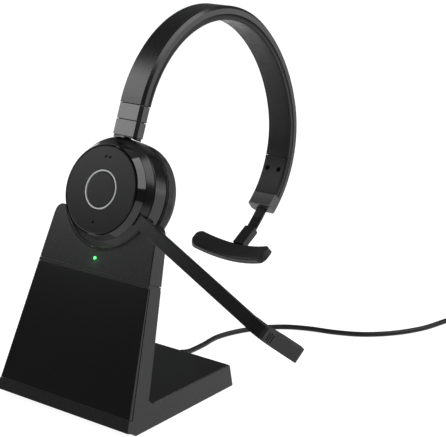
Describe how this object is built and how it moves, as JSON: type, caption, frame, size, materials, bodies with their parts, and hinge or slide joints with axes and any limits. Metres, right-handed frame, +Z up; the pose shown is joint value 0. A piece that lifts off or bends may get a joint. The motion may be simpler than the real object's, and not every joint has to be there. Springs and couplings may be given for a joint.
{
  "type": "office headset on charging stand",
  "caption": "Mono wireless office headset with a boom microphone, headband and temple rest, docked on a leaning charging stand with a USB lead.",
  "frame": {"origin": "middle of the stand's foot, on the surface it stands on", "axes": "+Z up, -Y towards the front of the stand, +X towards the side the boom points to"},
  "size_m": [0.2095, 0.3181, 0.2099],
  "materials": {
    "stand_plastic": "fine matte black",
    "panel_plastic": "fine matte black",
    "headset_plastic": "satin black",
    "soft_touch": "soft-touch charcoal",
    "gloss_black": "polished black",
    "leatherette": "fine-grained black leatherette",
    "pad_rubber": "matte black foam rubber",
    "foot_rubber": "matte black",
    "lead_jacket": "satin black jacket",
    "strap_rubber": "soft black tie",
    "mesh_fabric": "black acoustic cloth",
    "steel": "brushed",
    "dark_steel": "satin black coating",
    "contact_gold": "gold plated",
    "board": "green solder mask",
    "light_grey": "pale grey light guide",
    "green_lens": "lit green lens",
    "cell_foil": "foil pouch",
    "ballast": "plain plate"
  },
  "bodies": {
    "stand": {"stand_shell": "stand_plastic", "stand_front_panel": "panel_plastic", "stand_seam_trim": "stand_plastic", "stand_head": "stand_plastic", "stand_base_plate": "stand_plastic", "stand_foot_mat": "foot_rubber", "stand_base_weight": "ballast", "stand_screws": "steel", "stand_pcb": "board", "stand_led_lens": "green_lens", "dock_cradle": "headset_plastic", "dock_pins": "contact_gold", "cord_boot": "lead_jacket", "usb_cord": "lead_jacket", "usb_cord_coil": "lead_jacket", "coil_tie": "strap_rubber", "usb_plug_body": "lead_jacket", "usb_plug_shell": "steel"},
    "headset": {"earcup_housing": "headset_plastic", "earcup_bezel": "gloss_black", "led_ring": "light_grey", "tact_switch": "steel", "main_pcb": "board", "battery_cell": "cell_foil", "charge_contacts": "contact_gold", "usb_port": "steel", "speaker_baffle": "headset_plastic", "speaker_frame": "headset_plastic", "speaker_cone": "headset_plastic", "speaker_magnet": "steel", "speaker_cloth": "mesh_fabric", "cushion_carrier": "headset_plastic", "ear_cushion": "leatherette"},
    "boom": {"boom_ring": "headset_plastic", "boom_arm": "headset_plastic", "boom_tip": "headset_plastic", "mic_capsule": "steel", "mic_mesh": "mesh_fabric"},
    "volume": {"volume_cover": "soft_touch"},
    "call": {"call_button": "soft_touch"},
    "power": {"power_slide": "headset_plastic"},
    "pivot": {"pivot_stem": "dark_steel"},
    "slider": {"slider_block": "headset_plastic", "slider_strip": "dark_steel"},
    "band": {"band_end_cap": "headset_plastic", "headband_shell": "soft_touch", "headband_spring": "steel", "headband_pad": "pad_rubber", "band_far_cover": "headset_plastic", "band_screws": "dark_steel", "band_far_cap": "headset_plastic"},
    "temple": {"temple_arm": "dark_steel", "temple_stem": "headset_plastic", "temple_pad": "pad_rubber"}
  },
  "joints": [
    {"name": "headset_lift", "type": "slide", "parent": "stand", "child": "headset", "axis": [0, 0.3746, 0.9272], "range_m": [0, 0.08]},
    {"name": "boom_swivel", "type": "hinge", "parent": "headset", "child": "boom", "pos_m": [0, -0.01094, 0.12073], "axis": [0, -0.9272, 0.3746], "range_deg": [-27, 250]},
    {"name": "volume_rocker", "type": "hinge", "parent": "headset", "child": "volume", "pos_m": [0, -0.00964, 0.12021], "axis": [1, 0, 0], "range_deg": [-1.2, 1.2], "stiffness_Nm_per_rad": 0.4},
    {"name": "call_press", "type": "slide", "parent": "headset", "child": "call", "axis": [0, 0.9272, -0.3746], "range_m": [0, 0.0005], "stiffness_N_per_m": 400},
    {"name": "power_switch", "type": "slide", "parent": "headset", "child": "power", "axis": [0.2756, -0.3601, -0.8913], "range_m": [0, 0.003]},
    {"name": "cup_tilt", "type": "hinge", "parent": "headset", "child": "pivot", "pos_m": [0, 0.00997, 0.14033], "axis": [1, 0, 0], "range_deg": [-6, 6]},
    {"name": "cup_swivel", "type": "hinge", "parent": "pivot", "child": "slider", "pos_m": [0, 0.00997, 0.14033], "axis": [0, 0.3746, 0.9272], "range_deg": [-20, 85]},
    {"name": "band_extend", "type": "slide", "parent": "slider", "child": "band", "axis": [0, 0.3746, 0.9272], "range_m": [0, 0.015]},
    {"name": "temple_slide", "type": "hinge", "parent": "band", "child": "temple", "pos_m": [0, 0.05072, 0.15706], "axis": [1, 0, 0], "range_deg": [-4, 6]}
  ]
}
